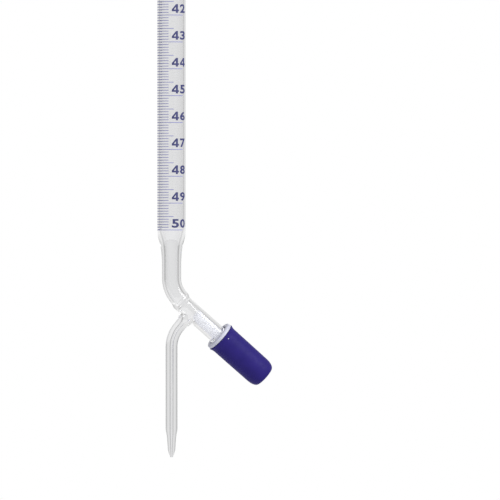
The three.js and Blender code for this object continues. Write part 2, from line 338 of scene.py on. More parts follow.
def gradient(field, points):
    """The unit outward direction of a field at some points, and the field's slope there."""
    step = 0.02
    slopes = []
    for axis in range(3):
        shift = np.zeros(3)
        shift[axis] = step
        ahead = field(*(points + shift).T)
        behind = field(*(points - shift).T)
        slopes.append((ahead - behind) / (2 * step))
    direction = np.stack(slopes, axis=-1)
    size = np.linalg.norm(direction, axis=-1, keepdims=True)
    return direction / size, size[:, 0]


def surface_of(field, low, high, step):
    """A mesh of a field's zero level in a box, by surface nets: (points, quads). Each cell of the grid that
    the surface crosses gets one point, and each edge of the grid that it crosses gets one quad."""
    axes = [np.arange(a, b + step, step) for a, b in zip(low, high, strict=True)]
    value = field(*np.meshgrid(*axes, indexing="ij"))
    inside = value < 0
    cells = tuple(n - 1 for n in value.shape)
    total = np.zeros((*cells, 3))
    count = np.zeros(cells)
    crossings = []
    for axis in range(3):
        near = [slice(None)] * 3
        far = [slice(None)] * 3
        near[axis] = slice(None, -1)
        far[axis] = slice(1, None)
        crossed = inside[tuple(near)] != inside[tuple(far)]
        at = np.argwhere(crossed)
        a = value[tuple(near)][crossed]
        b = value[tuple(far)][crossed]
        place = at.astype(float)
        place[:, axis] += a / (a - b)
        crossings.append((axis, at))
        u, v = (axis + 1) % 3, (axis + 2) % 3
        for du in (0, 1):
            for dv in (0, 1):
                cell = at.copy()
                cell[:, u] -= du
                cell[:, v] -= dv
                held = ((cell >= 0) & (cell < cells)).all(axis=1)
                where = tuple(cell[held].T)
                np.add.at(total, where, place[held])
                np.add.at(count, where, 1)
    used = count > 0
    number = np.full(cells, -1)
    number[used] = np.arange(used.sum())
    points = total[used] / count[used][:, None] * step + np.array([a[0] for a in axes])
    quads = []
    for axis, at in crossings:
        u, v = (axis + 1) % 3, (axis + 2) % 3
        inner = (at[:, u] > 0) & (at[:, v] > 0) & (at[:, u] < cells[u]) & (at[:, v] < cells[v])
        corners = []
        for du, dv in ((0, 0), (1, 0), (1, 1), (0, 1)):
            cell = at[inner].copy()
            cell[:, u] -= du
            cell[:, v] -= dv
            corners.append(number[tuple(cell.T)])
        quads.append(np.stack(corners, axis=-1))
    for _ in range(3):
        direction, slope = gradient(field, points)
        points = points - direction * (field(*points.T) / slope)[:, None]
    return points, np.concatenate(quads)


def trimmed(points, quads, planes):
    """Cuts a mesh off past each plane (a point and a direction out), and returns its points, faces and
    the loop of point numbers at each plane."""
    mesh = bpy.data.meshes.new("trim")
    mesh.from_pydata(points.tolist(), [], quads.tolist())
    work = bmesh.new()
    work.from_mesh(mesh)
    bpy.data.meshes.remove(mesh)
    for point, out in planes:
        everything = [*work.verts, *work.edges, *work.faces]
        bmesh.ops.bisect_plane(
            work, geom=everything, dist=1e-4, plane_co=point, plane_no=out, clear_outer=True
        )
    work.verts.index_update()
    places = np.array([v.co for v in work.verts])
    faces = [[v.index for v in f.verts] for f in work.faces]
    loops = [
        np.flatnonzero(np.abs((places - np.array(point)) @ np.array(out)) < 1e-3)
        for point, out in planes
    ]
    work.free()
    return places, faces, loops


# ---- Glass ---------------------------------------------------------------------------------------
# The five glass parts are flame-welded into one, so they are one mesh here. Turned lengths are joined to
# the melted junction at three planes: in the neck, in the barrel past the outlet, and in the outlet's stub.

TUBE_SEGMENTS = 72
BARREL_SEGMENTS = 72
JET_SEGMENTS = 48
NECK_CUT = BEND_RISE + BEND_TANGENT + 0.5
BARREL_CUT = 20.0
STUB_CUT = 8.2
JOIN = 0.3
JUNCTION_LOW, JUNCTION_HIGH = (-9.9, -5.2, -9.3), (9.6, 5.2, 20.7)
OUTER_STEP = 0.18
BORE_STEP = 0.13
UP_IN_ARM = (-math.cos(ARM_SLOPE), 0.0, -math.sin(ARM_SLOPE))


def to_arm(points):
    """Points of the CAD's frame, in millimetres, given in the arm's frame."""
    turn = np.array([ACROSS, SIDE, ALONG])
    return (points - np.array(VERTEX) / MM) @ turn.T


def tube_outline():
    """Up the outside of the tube from the neck's cut, over the rim, and down the bore to the cut again."""
    start = VERTEX_Z + NECK_CUT + JOIN
    shoulder = smooth_curve(
        [
            (NECK_RADIUS, -654.5),
            (NECK_RADIUS, -651.5),
            (4.3, -648),
            (4.6, -644.5),
            (5.1, -641.6),
            (5.7, -639.3),
            (6.06, -637.6),
            (6.21, -635.8),
            (TUBE_RADIUS, -633.6),
            (TUBE_RADIUS, -631),
        ],
        7,
    )
    rim = [
        (TUBE_RADIUS, RIM_Z - 4),
        (TUBE_RADIUS + 0.04, RIM_Z - 2.6),
        (TUBE_RADIUS + 0.13, RIM_Z - 1.6),
        *arc((TUBE_RADIUS - 0.37, RIM_Z - 0.75), (0.55, 0.75), 0, 90, 8),
        *arc((TUBE_BORE_RADIUS + 0.5, RIM_Z - 0.6), (0.5, 0.6), 90, 180, 6),
    ]
    throat = smooth_curve(
        [
            (TUBE_BORE_RADIUS, -630.5),
            (TUBE_BORE_RADIUS, -633.2),
            (5.0, -635.2),
            (4.6, -636.8),
            (4.05, -638.3),
            (3.5, -639.8),
            (3.05, -641.6),
            (2.82, -644),
            (NECK_BORE_RADIUS, -647),
            (NECK_BORE_RADIUS, -650),
        ],
        7,
    )
    return [
        (NECK_RADIUS, start),
        (NECK_RADIUS, start + JOIN),
        *shoulder,
        (TUBE_RADIUS, -600),
        (TUBE_RADIUS, -300),
        *rim,
        (TUBE_BORE_RADIUS, -300),
        (TUBE_BORE_RADIUS, -600),
        *throat,
        (NECK_BORE_RADIUS, start + JOIN),
        (NECK_BORE_RADIUS, start),
    ]


def barrel_rings():
    """Along the outside of the barrel from its cut, over the thread, round the end and back up the bore."""
    threaded = np.arange(THREAD_FROM - 1.4, THREAD_TO + 1.2, 0.16)
    lip = (BARREL_RADIUS + BARREL_BORE_RADIUS) / 2
    half = (BARREL_RADIUS - BARREL_BORE_RADIUS) / 2
    outline = [
        (BARREL_RADIUS, BARREL_CUT + JOIN),
        (BARREL_RADIUS, BARREL_CUT + 2 * JOIN),
        *[(BARREL_RADIUS, z) for z in threaded],
        *arc((lip, BARREL_END - 0.6), (half, 0.6), 0, 180, 14),
        (BARREL_BORE_RADIUS, 30),
        (BARREL_BORE_RADIUS, BARREL_CUT + 2 * JOIN),
        (BARREL_BORE_RADIUS, BARREL_CUT + JOIN),
    ]
    grid = rings(outline, BARREL_SEGMENTS)
    outside = np.arange(len(grid)) < len(threaded) + 2
    ridge = thread(grid, THREAD_FROM, THREAD_TO, THREAD_HEIGHT, THREAD_HALF_WIDTH)
    return grow(grid, ridge * outside[:, None])


def jet_rings():
    """Down the outside of the jet from the stub's cut, round the tip, and back up its fine bore."""
    to_tube_axis = OUTLET_AT / math.tan(ARM_SLOPE)
    tangent = ELBOW_RADIUS * math.tan(ARM_SLOPE / 2)
    bend_from = to_tube_axis - tangent
    bend_to = bend_from + ELBOW_RADIUS * ARM_SLOPE
    bend_end_z = VERTEX_Z - OUTLET_AT / math.sin(ARM_SLOPE) - tangent
    tip = bend_to + bend_end_z - TIP_Z
    heights = [STUB_CUT + JOIN, *np.linspace(bend_from, bend_to, 22), bend_to + 8, tip - 20]
    drawn = smooth_curve(
        [
            (JET_RADIUS, tip - 13.6),
            (JET_RADIUS - 0.06, tip - 11.8),
            (2.02, tip - 8.6),
            (1.72, tip - 4.6),
            (1.6, tip - 3.1),
            (1.2, tip - 1.5),
            (0.85, tip - 0.6),
        ],
        5,
    )
    mouth = [
        *arc((0.58, tip - 0.25), (0.18, 0.25), 20, 90, 4),
        *arc((0.5, tip - 0.2), (0.18, 0.2), 90, 180, 4),
    ]
    bore = [(0.33, tip - 3), (0.42, tip - 6), (JET_BORE_RADIUS, tip - 11)]
    outline = [
        *[(JET_RADIUS, h) for h in heights],
        *drawn,
        *mouth,
        *bore,
        *[(JET_BORE_RADIUS, h) for h in reversed(heights)],
    ]
    grid = rings(outline, JET_SEGMENTS)
    return bent(grid, bend_from, ELBOW_RADIUS, ARM_SLOPE)


def bent(grid, start, radius, angle):
    """Bends rings that stand along Z towards +X, from a height on, round an arc. Past it they go straight."""
    height = grid[..., 2] - start
    turn = np.clip(height / radius, 0, angle)
    rest = height - radius * turn
    reach = radius - grid[..., 0]
    made = grid.copy()
    made[..., 0] = radius - reach * np.cos(turn) + rest * np.sin(turn)
    made[..., 2] = start + reach * np.sin(turn) + rest * np.cos(turn)
    return made


def angles_about(points, axis):
    """The angle of each point of a loop about an axis, from the loop's own middle."""
    out = Vector(axis)
    first = out.cross(Vector((0, 1, 0))).normalized()
    second = out.cross(first)
    off = points - points.mean(axis=0)
    return np.arctan2(off @ np.array(second), off @ np.array(first))


def glass_body(material):
    skin = Skin()
    cuts = [
        (Vector(UP_IN_ARM) * NECK_CUT, UP_IN_ARM),
        (Vector((0, 0, BARREL_CUT)), (0, 0, 1)),
        (Vector((STUB_CUT, 0, 0)), (1, 0, 0)),
    ]
    fields = [(outer_field, OUTER_STEP, 1), (bore_field, BORE_STEP, -1)]
    loops, melted_parts = [], []
    for field, step, sign in fields:
        points, faces, at_planes = trimmed(*surface_of(field, JUNCTION_LOW, JUNCTION_HIGH, step), cuts)
        ids = skin.add(points)
        skin.faces.extend([[int(ids[k]) for k in f] for f in faces])
        loops.append([ids[loop] for loop in at_planes])
        melted_parts.append((ids, gradient(field, points)[0] * sign))
    tube = to_arm(rings(tube_outline(), TUBE_SEGMENTS))
    jet = jet_rings()
    jet = np.stack([jet[..., 2], -jet[..., 1], jet[..., 0] + OUTLET_AT], axis=-1)
    for k, grid in enumerate((tube, barrel_rings(), jet)):
        for ends, inner_or_outer in zip(skin.add_rings(grid), loops, strict=True):
            axis = cuts[k][1]
            loop = inner_or_outer[k]
            at = np.array(skin.points)
            skin.zip_loops(
                ends, angles_about(at[ends], axis), loop, angles_about(at[loop], axis)
            )
    mesh = skin.mesh("glass_body", ARM)
    normals = np.array([n.vector for n in mesh.vertex_normals])
    turn = np.array([ACROSS, SIDE, ALONG])
    for ids, directions in melted_parts:
        normals[ids] = directions @ turn
    mesh.normals_split_custom_set_from_vertices(normals.tolist())
    nodes = ("measuring_tube", "shoulder_bend", "valve_barrel", "outlet_elbow", "delivery_jet")
    return put("glass_body", mesh, "glassware", material, nodes)


# ---- The printed scale ---------------------------------------------------------------------------
# Angles are round the tube from -Y towards +X, in degrees.

INK_LIFT = 0.006
INK_THICKNESS = 0.03
LINE_WIDTH = 0.27
SCALE_LEFT = -139
TENTH_RIGHT = -25.5
HALF_RIGHT = -5
ML_RIGHT = 37
NUMERALS_RIGHT = 53
LABELS_MIDDLE = -17
DIGIT_HEIGHT = 3.85
DIGIT_WIDTH = 3.3
DIGIT_STEP = 3.85
DIGIT_WEIGHT = 0.034
ONE_WIDTH = DIGIT_WIDTH * 0.55
NUMERAL_LIFT = 0.95
LETTER_SLICE = 0.45
WELD = 1e-5
FACET = 360 / TUBE_SEGMENTS


def wrapped(across, up, out):
    """Points on the tube, from an angle in degrees, a height, and how far they stand out of the glass."""
    radius = TUBE_RADIUS + INK_LIFT + out
    angle = np.radians(across)
    return np.stack([radius * np.sin(angle), -radius * np.cos(angle), up], axis=-1)


def printed(name, points, faces, material):
    mesh = bpy.data.meshes.new(name)
    mesh.from_pydata((points * MM).tolist(), [], faces)
    faces_outwards(mesh)
    return put(name, mesh, "glassware", material)


def graduation_lines(name, volumes, right, material):
    """Thin closed strips from the scale's left edge to an angle, one for each volume in millilitres."""
    inner = np.arange(math.ceil(SCALE_LEFT / FACET), math.floor(right / FACET) + 1) * FACET
    angles = np.unique([SCALE_LEFT, *inner, right])
    section = [(-0.5, 0), (0.5, 0), (0.5, 1), (-0.5, 1)]
    strip = np.stack(
        [wrapped(angles, np.full(len(angles), LINE_WIDTH * up), INK_THICKNESS * out) for up, out in section],
        axis=1,
    )
    ids = np.arange(strip.shape[0] * 4).reshape(-1, 4)
    turned = np.roll(ids, -1, axis=1)
    sides = np.stack([ids[:-1], turned[:-1], turned[1:], ids[1:]], axis=-1).reshape(-1, 4)
    one = np.concatenate([sides, ids[:1, ::-1], ids[-1:]])
    heights = ZERO_LINE_Z - np.array(volumes) * ML
    points = np.concatenate([strip.reshape(-1, 3) + (0, 0, z) for z in heights])
    faces = np.concatenate([one + k * ids.size for k in range(len(heights))])
    return printed(name, points, faces.tolist(), material)


# The scale's ones and fours, drawn as loops of corners in a square of one unit. The other digits are in the
# built-in font.
DRAWN = {
    "1": [
        [(0.52, 0), (1, 0), (1, 1), (0.62, 1), (0.42, 0.85), (0, 0.75), (0, 0.58), (0.52, 0.7)],
    ],
    "4": [
        [
            (0.55, 0),
            (0.85, 0),
            (0.85, 0.18),
            (1, 0.18),
            (1, 0.38),
            (0.85, 0.38),
            (0.85, 1),
            (0.58, 1),
            (0, 0.4),
            (0, 0.18),
            (0.55, 0.18),
        ],
        [(0.55, 0.38), (0.27, 0.38), (0.55, 0.68)],
    ],
}


def typed(text, weight):
    """A font curve of a text."""
    curve = bpy.data.curves.new("lettering", "FONT")
    curve.body = text
    curve.offset = weight
    curve.resolution_u = 4
    return curve


def drawn(loops):
    """A flat curve from loops of corners."""
    curve = bpy.data.curves.new("lettering", "CURVE")
    curve.dimensions = "2D"
    curve.fill_mode = "BOTH"
    for loop in loops:
        spline = curve.splines.new("POLY")
        spline.points.add(len(loop) - 1)
        spline.use_cyclic_u = True
        for point, (x, y) in zip(spline.points, loop, strict=True):
            point.co = (x, y, 0, 1)
    return curve


def lettering(curve, height, width=None):
    """A flat curve as a closed body, sliced fine enough to wrap: points (across, up, out) and faces, from
    the left end of the baseline. Without a width it keeps its shape."""
    curve.extrude = 0.5
    holder = bpy.data.objects.new("lettering", curve)
    bpy.context.scene.collection.objects.link(holder)
    depsgraph = bpy.context.evaluated_depsgraph_get()
    mesh = bpy.data.meshes.new_from_object(holder.evaluated_get(depsgraph))
    work = bmesh.new()
    work.from_mesh(mesh)
    bpy.data.objects.remove(holder)
    bpy.data.curves.remove(curve)
    bpy.data.meshes.remove(mesh)
    bmesh.ops.remove_doubles(work, verts=work.verts, dist=WELD)
    places = np.array([v.co for v in work.verts])
    size = np.ptp(places, axis=0)
    scale = np.array([(width or height * size[0] / size[1]) / size[0], height / size[1]])
    for x in np.arange(places[:, 0].min(), places[:, 0].max(), LETTER_SLICE / scale[0]):
        everything = [*work.verts, *work.edges, *work.faces]
        bmesh.ops.bisect_plane(work, geom=everything, plane_co=(x, 0, 0), plane_no=(1, 0, 0))
    bmesh.ops.dissolve_degenerate(work, edges=work.edges, dist=WELD)
    work.verts.index_update()
    places = np.array([v.co for v in work.verts])
    faces = [[v.index for v in f.verts] for f in work.faces]
    work.free()
    places[:, :2] = (places[:, :2] - places[:, :2].min(axis=0)) * scale
    places[:, 2] = (places[:, 2] + 0.5) * INK_THICKNESS
    return places, faces


def on_tube(name, letters, material):
    """Letters in one piece. Each is its points and faces, the angle and the height of where it starts, and
    how far it is moved along the tube's skin from there."""
    points, faces, first = [], [], 0
    for (flat, own), angle, base, shift in letters:
        across = angle + np.degrees((flat[:, 0] + shift) / TUBE_RADIUS)
        points.append(wrapped(across, flat[:, 1] + base, flat[:, 2]))
        faces.extend([[k + first for k in f] for f in own])
        first += len(flat)
    return printed(name, np.concatenate(points), faces, material)


def digit(character):
    """A digit of the scale. They are all as wide as each other, apart from the one."""
    curve = drawn(DRAWN[character]) if character in DRAWN else typed(character, DIGIT_WEIGHT)
    return lettering(curve, DIGIT_HEIGHT, ONE_WIDTH if character == "1" else DIGIT_WIDTH)


def numerals_on_tube(material):
    """The number over each millilitre's line, in columns that end at the same right edge."""
    digits = {character: digit(character) for character in "0123456789"}
    letters = []
    for volume in range(VOLUME_ML + 1):
        for place, character in enumerate(reversed(str(volume))):
            width = digits[character][0][:, 0].max()
            gap = (DIGIT_WIDTH - width) / 2
            shift = -place * DIGIT_STEP - width - gap
            base = ZERO_LINE_Z - volume * ML + NUMERAL_LIFT
            letters.append((digits[character], NUMERALS_RIGHT, base, shift))
    return on_tube("scale_numerals", letters, material)


def labels_on_tube(material):
    """The capacity, the division, and the temperature and tolerance, over the zero line."""
    letters = []
    for text, height, weight, base in (
        ("ml", 2.3, 0.005, 2.15),
        ("±0.1", 2.5, 0.005, 5.7),
        ("20°C", 2.6, 0.005, 9.5),
        ("0.1 ml", 2.05, 0, 25.2),
        (str(VOLUME_ML), 7, 0.02, 29),
    ):
        made = lettering(typed(text, weight), height)
        middle = made[0][:, 0].max() / 2
        letters.append((made, LABELS_MIDDLE, ZERO_LINE_Z + base, -middle))
    return on_tube("scale_labels", letters, material)


def printed_scale(ink, thin_ink):
    tenths = [k / 10 for k in range(VOLUME_ML * 10) if k % 5]
    halves = [k + 0.5 for k in range(VOLUME_ML)]
    graduation_lines("scale_tenth_marks", tenths, TENTH_RIGHT, thin_ink)
    graduation_lines("scale_half_marks", halves, HALF_RIGHT, thin_ink)
    graduation_lines("scale_ml_marks", range(VOLUME_ML + 1), ML_RIGHT, thin_ink)
    numerals_on_tube(ink)
    labels_on_tube(ink)


# ---- Valve ---------------------------------------------------------------------------------------
# The painted highlight's place on the cap, a tiny pale pip: degrees round the arm, and how far from and along
# its axis.

PAINTED_HIGHLIGHT_TURN = -97
PAINTED_HIGHLIGHT_REACH = 6.62
PAINTED_HIGHLIGHT_AT = CAP_RIM + 1.9


def square(grid, start, end, half_side):
    """Turns the round rings between two heights into squares."""
    angle = np.arctan2(grid[..., 1], grid[..., 0])
    side = half_side / np.maximum(np.abs(np.cos(angle)), np.abs(np.sin(angle)))
    radius = np.hypot(grid[..., 0], grid[..., 1])
    chosen = (grid[..., 2] > start) & (grid[..., 2] < end) & (radius < half_side * 1.5)
    return grow(grid, np.where(chosen, side - radius, 0))


def valve_spindle(material):
    """The PTFE spindle: blunt nose, plain body, two grooves for the rings, shank, collar and square tang."""
    radius, nose = SPINDLE_RADIUS, SPINDLE_NOSE
    grooves = []
    for place in O_RING_PLACES.values():
        grooves += [(radius, place - 0.75), (radius - 0.08, place - 0.65), (1.68, place - 0.64)]
        grooves += [(1.6, place - 0.56), (1.6, place + 0.56)]
        grooves += [(1.68, place + 0.64), (radius - 0.08, place + 0.65), (radius, place + 0.75)]
    outline = [
        (0, nose),
        (1.2, nose),
        (1.8, nose + 0.02),
        *arc((1.8, nose + 0.3), (0.25, 0.28), -70, -20, 3),
        (2.44, nose + 0.62),
        (radius, nose + 0.85),
        (radius, nose + 5),
        (radius, 25),
        *grooves,
        (radius, 43.8),
        (2.5, 43.9),
        (SHANK_RADIUS, 44.3),
        (SHANK_RADIUS, 48.6),
        (COLLAR_RADIUS - 0.1, 48.66),
        (COLLAR_RADIUS, 48.76),
        (COLLAR_RADIUS, 50.1),
        (COLLAR_RADIUS - 0.1, 50.2),
        (TANG_HALF_SIDE + 0.02, 50.21),
        (TANG_HALF_SIDE + 0.02, 50.5),
        (TANG_HALF_SIDE, 53.5),
        (1.7, 53.6),
        (0, 53.6),
    ]
    mesh = turned_mesh(
        "valve_spindle_ptfe", outline, 64, lambda g: square(g, 50.205, 54, TANG_HALF_SIDE)
    )
    return put("valve_spindle_ptfe", mesh, "handle", material, ["valve_spindle"])


def o_ring(name, node, place, material):
    outline = arc((2.14, place), (0.45, 0.45), 0, 345, 23)
    mesh = turned_mesh(name, outline, 48)
    return put(name, mesh, "seals", material, [node])


def cap_liner(material):
    """The white threaded bush. Its rounded collar is the ring that shows at the cap's mouth."""
    front, end, bore, wall = 27.6, 39.9, 5.05, 5.55
    inside = np.arange(end - 0.4, front + 0.7, -0.2)
    outline = [
        (bore + 0.25, front),
        *arc((5.9, front + 0.75), (0.85, 0.75), -90, -8, 8),
        *arc((6.6, CAP_RIM - 0.35), (0.2, 0.25), 0, 90, 3),
        (wall, CAP_RIM - 0.1),
        (wall, end - 0.2),
        (wall - 0.15, end),
        (bore + 0.15, end),
        *[(bore, z) for z in inside],
        (bore + 0.04, front + 0.25),
    ]
    start, stop = CAP_RIM + 0.5, CAP_RIM + 9.5
    last_inside = len(outline) - 1

    def with_thread(grid):
        ring = np.arange(len(grid))
        inner = (ring >= last_inside - len(inside)) & (ring < last_inside)
        ridge = thread(grid, start, stop, THREAD_HEIGHT, THREAD_HALF_WIDTH, 0.5)
        return grow(grid, -ridge * inner[:, None])

    mesh = turned_mesh("cap_liner_white", outline, 96, with_thread)
    return put("cap_liner_white", mesh, "handle", material, ["cap_liner"])


def handle_cap(material):
    """The blue cap: a flared mouth, a long plain grip, and a closed end with a soft corner."""
    outline = [
        (0, SOCKET_END),
        (1.3, SOCKET_END),
        (1.9, SOCKET_END - 0.01),
        (1.9, POCKET_END + 0.02),
        (1.95, POCKET_END),
        (POCKET_RADIUS, POCKET_END - 0.01),
        (POCKET_RADIUS, 48.6),
        (3.9, 48.6),
        (3.9, 47.7),
        (POCKET_RADIUS, 47.7),
        (POCKET_RADIUS, CAP_BORE_END),
        (CAP_BORE_RADIUS, CAP_BORE_END - 0.01),
        (CAP_BORE_RADIUS, CAP_RIM + 0.25),
        (CAP_BORE_RADIUS + 0.25, CAP_RIM),
        (CAP_RIM_RADIUS - 0.3, CAP_RIM),
        *arc((CAP_RIM_RADIUS - 0.22, CAP_RIM + 0.22), (0.22, 0.22), -90, 0, 5),
        *smooth_curve(
            [
                (CAP_RIM_RADIUS, CAP_RIM + 0.35),
                (CAP_RIM_RADIUS - 0.25, CAP_RIM + 1.05),
                (CAP_NECK_RADIUS + 0.02, CAP_RIM + 2.2),
                (CAP_NECK_RADIUS, CAP_RIM + 3.4),
            ],
            6,
        ),
        (6.5, 42),
        *arc((CAP_BACK_RADIUS - 2, CAP_END - 4.5), (1.98, 4.48), 0, 90, 20),
        (2, CAP_END - 0.02),
        (0, CAP_END - 0.02),
    ]
    mesh = turned_mesh(
        "handle_cap_blue", outline, 128, lambda g: square(g, POCKET_END + 0.01, 54, SOCKET_SIDE / 2)
    )
    return put("handle_cap_blue", mesh, "handle", material, ["handle_cap"])


def gate_mark(material):
    """A tiny raised pip of pale plastic just behind the cap's rim, on the side that faces the viewer. Its
    pale colour is a painted highlight on the blue cap.
    """
    radius, depth = 0.21, 0.3
    outline = [(0, 0.07), (0.11, 0.05), (radius, 0), (radius, -depth), (0, -depth)]
    around = Matrix.Rotation(math.radians(PAINTED_HIGHLIGHT_TURN), 4, "Z")
    spot = Matrix.Translation((PAINTED_HIGHLIGHT_REACH * MM, 0, PAINTED_HIGHLIGHT_AT * MM))
    outwards = Matrix.Rotation(math.pi / 2, 4, "Y")
    mesh = turned_mesh("cap_painted_highlight_pip", outline, 24, place=ARM @ around @ spot @ outwards)
    return put("cap_painted_highlight_pip", mesh, "handle", material)


# ---- Materials -----------------------------------------------------------------------------------


class Finish:
    """A node material built round one Principled shader. Sizes are in millimetres, in the piece's frame."""

    def __init__(self, name, **settings):
        self.material = bpy.data.materials.new(name)
        self.material.use_nodes = True
        self.tree = self.material.node_tree
        self.shader = self.tree.nodes["Principled BSDF"]
        self.place = self.tree.nodes.new("ShaderNodeTexCoord").outputs["Object"]
        for socket, value in settings.items():
            self.shader.inputs[socket.replace("_", " ")].default_value = value

    def link(self, output, target):
        self.tree.links.new(output, target)

    def noise(self, size, detail=2.0, stretch=(1, 1, 1), turn=0.0):
        """Noise with features of a size, drawn out along an axis by stretch after a turn about Y."""
        mapping = self.tree.nodes.new("ShaderNodeMapping")
        mapping.vector_type = "TEXTURE"
        mapping.inputs["Rotation"].default_value = (0, turn, 0)
        mapping.inputs["Scale"].default_value = [size * MM * s for s in stretch]
        texture = self.tree.nodes.new("ShaderNodeTexNoise")
        texture.inputs["Scale"].default_value = 1
        texture.inputs["Detail"].default_value = detail
        self.link(self.place, mapping.inputs["Vector"])
        self.link(mapping.outputs["Vector"], texture.inputs["Vector"])
        return texture.outputs["Fac"]

    def between(self, value, low, high, target):
        """Spreads a value from 0.3 to 0.7 over low to high, into a socket of the shader."""
        spread = self.tree.nodes.new("ShaderNodeMapRange")
        spread.inputs["From Min"].default_value = 0.3
        spread.inputs["From Max"].default_value = 0.7
        spread.inputs["To Min"].default_value = low
        spread.inputs["To Max"].default_value = high
        self.link(value, spread.inputs["Value"])
        self.link(spread.outputs["Result"], self.shader.inputs[target])

    def colours(self, value, low, high):
        """Runs the base colour between two colours."""
        ramp = self.tree.nodes.new("ShaderNodeValToRGB")
        ramp.color_ramp.elements[0].position = 0.3
        ramp.color_ramp.elements[0].color = (*low, 1)
        ramp.color_ramp.elements[1].position = 0.7
        ramp.color_ramp.elements[1].color = (*high, 1)
        self.link(value, ramp.inputs["Fac"])
        self.link(ramp.outputs["Color"], self.shader.inputs["Base Color"])

    def bump(self, value, depth, strength=1.0, under=None):
        """Raises the surface by up to depth, in millimetres."""
        node = self.tree.nodes.new("ShaderNodeBump")
        node.inputs["Distance"].default_value = depth * MM
        node.inputs["Strength"].default_value = strength
        self.link(value, node.inputs["Height"])
        if under:
            self.link(under, node.inputs["Normal"])
        self.link(node.outputs["Normal"], self.shader.inputs["Normal"])
        return node.outputs["Normal"]

    def light_deep_paths(self, light, limits):
        """Adds light where a path has gone deeper than one of some limits, each (a depth, the most). It
        stands in for light that the renderer loses in glass, and isn't how the material behaves."""
        path = self.tree.nodes.new("ShaderNodeLightPath")
        deep = None
        for depth, most in limits:
            over = self.tree.nodes.new("ShaderNodeMath")
            over.operation = "GREATER_THAN"
            over.inputs[1].default_value = most
            self.link(path.outputs[depth], over.inputs[0])
            either = self.tree.nodes.new("ShaderNodeMath")
            either.operation = "MAXIMUM"
            either.inputs[0].default_value = 0
            self.link(over.outputs["Value"], either.inputs[1])
            if deep:
                self.link(deep, either.inputs[0])
            deep = either.outputs["Value"]
        self.shader.inputs["Emission Color"].default_value = (*light, 1)
        self.link(deep, self.shader.inputs["Emission Strength"])


def glass_finish():
    finish = Finish("borosilicate_glass", Transmission_Weight=1, IOR=1.474, Roughness=0)
    finish.shader.inputs["Base Color"].default_value = (0.984, 0.985, 0.99, 1)
    finish.bump(finish.noise(2.2, 2, (1, 1, 14)), 0.004)
    lost = [("Glossy Depth", 3.5), ("Transmission Depth", 11.5), ("Ray Depth", 11.5)]
    finish.light_deep_paths((0.5, 0.5, 0.5), lost)
    return finish.material


def ink_finish(name, low, high):
    finish = Finish(name, Specular_IOR_Level=0.3)
    finish.colours(finish.noise(0.5, 3), low, high)
    finish.between(finish.noise(0.3, 2), 0.35, 0.55, "Roughness")
    return finish.material


def ptfe_finish():
    finish = Finish("turned_ptfe", Specular_IOR_Level=0.35)
    finish.colours(finish.noise(1.6, 3), (0.90, 0.91, 0.97), (0.95, 0.96, 0.99))
    finish.between(finish.noise(0.8, 2), 0.3, 0.42, "Roughness")
    finish.bump(finish.noise(0.3, 1, (40, 40, 1), ARM_TURN), 0.002)
    finish.light_deep_paths((0.33, 0.335, 0.36), [("Transmission Depth", 0.5)])
    return finish.material


def rubber_finish():
    finish = Finish("seal_rubber", Specular_IOR_Level=0.4)
    finish.colours(finish.noise(0.4, 3), (0.012, 0.012, 0.013), (0.024, 0.024, 0.026))
    finish.between(finish.noise(0.2, 2), 0.45, 0.65, "Roughness")
    finish.bump(finish.noise(0.12, 3), 0.004)
    return finish.material


def clip_finish():
    finish = Finish("clip_plastic", Specular_IOR_Level=0.4)
    finish.colours(finish.noise(0.8, 3), (0.62, 0.63, 0.66), (0.70, 0.71, 0.73))
    finish.between(finish.noise(0.5, 2), 0.35, 0.5, "Roughness")
    finish.bump(finish.noise(0.2, 2), 0.003)
    return finish.material


def white_finish():
    finish = Finish("white_plastic", Specular_IOR_Level=0.4, Subsurface_Weight=0.15, Subsurface_Scale=0.001)
    finish.shader.inputs["Subsurface Radius"].default_value = (1, 1, 1)
    finish.colours(finish.noise(2.5, 2), (0.66, 0.67, 0.80), (0.70, 0.71, 0.83))
    finish.between(finish.noise(1.2, 2), 0.3, 0.42, "Roughness")
    finish.bump(finish.noise(0.3, 2), 0.003)
    return finish.material


def blue_finish():
    finish = Finish("blue_plastic", Specular_IOR_Level=0.15)
    finish.colours(finish.noise(5, 3), (0.022, 0.014, 0.175), (0.027, 0.017, 0.200))
    finish.between(finish.noise(1.5, 3), 0.48, 0.58, "Roughness")
    fine = finish.bump(finish.noise(0.25, 2), 0.004)
    finish.bump(finish.noise(7, 1), 0.02, under=fine)
    return finish.material


def finish_cad_node(name, slot_material):
    node = frame["nodes"][name]
    node.data.materials.clear()
    node.data.materials.append(slot_material)


# ---- Studio --------------------------------------------------------------------------------------

VIEW_AZIMUTH = -14
VIEW_HEIGHT = 219.9
CAMERA_DISTANCE = 4.0
CENTRE_RIGHT = 34.5
CENTRE_Z = LAST_LINE_Z - 8.8
FLOOR_Z = TIP_Z - 65
FLOOR_RADIUS = 1.6

# What the glass and the plastic see of the surround, from straight behind the object (0) to the camera (1).
SURROUND = ((0, 0.76), (0.05, 0.75), (0.2, 0.45), (0.5, 0.25), (0.75, 0.38), (1, 0.65))
KEY_FROM = (42, 26)
KEY_SPREAD = 60
KEY_LEVEL = 0.35
KEY_AIM = 0.03
KEY_DISTANCE = 1.0
KEY_SIZE = (0.45, 0.45)
KEY_POWER = 4.3


def studio_camera():
    azimuth = math.radians(VIEW_AZIMUTH)
    right = Vector((math.cos(azimuth), math.sin(azimuth), 0))
    back = Vector((math.sin(azimuth), -math.cos(azimuth), 0))
    target = right * CENTRE_RIGHT * MM + Vector((0, 0, CENTRE_Z * MM))
    data = bpy.data.cameras.new("camera")
    data.sensor_width = 36
    data.lens = data.sensor_width * CAMERA_DISTANCE / (VIEW_HEIGHT * MM)
    data.clip_start, data.clip_end = 0.05, 50
    camera = bpy.data.objects.new("camera", data)
    camera.location = target + back * CAMERA_DISTANCE
    camera.rotation_mode = "QUATERNION"
    camera.rotation_quaternion = (-back).to_track_quat("-Z", "Y")
    bpy.context.scene.collection.objects.link(camera)
    bpy.context.scene.camera = camera


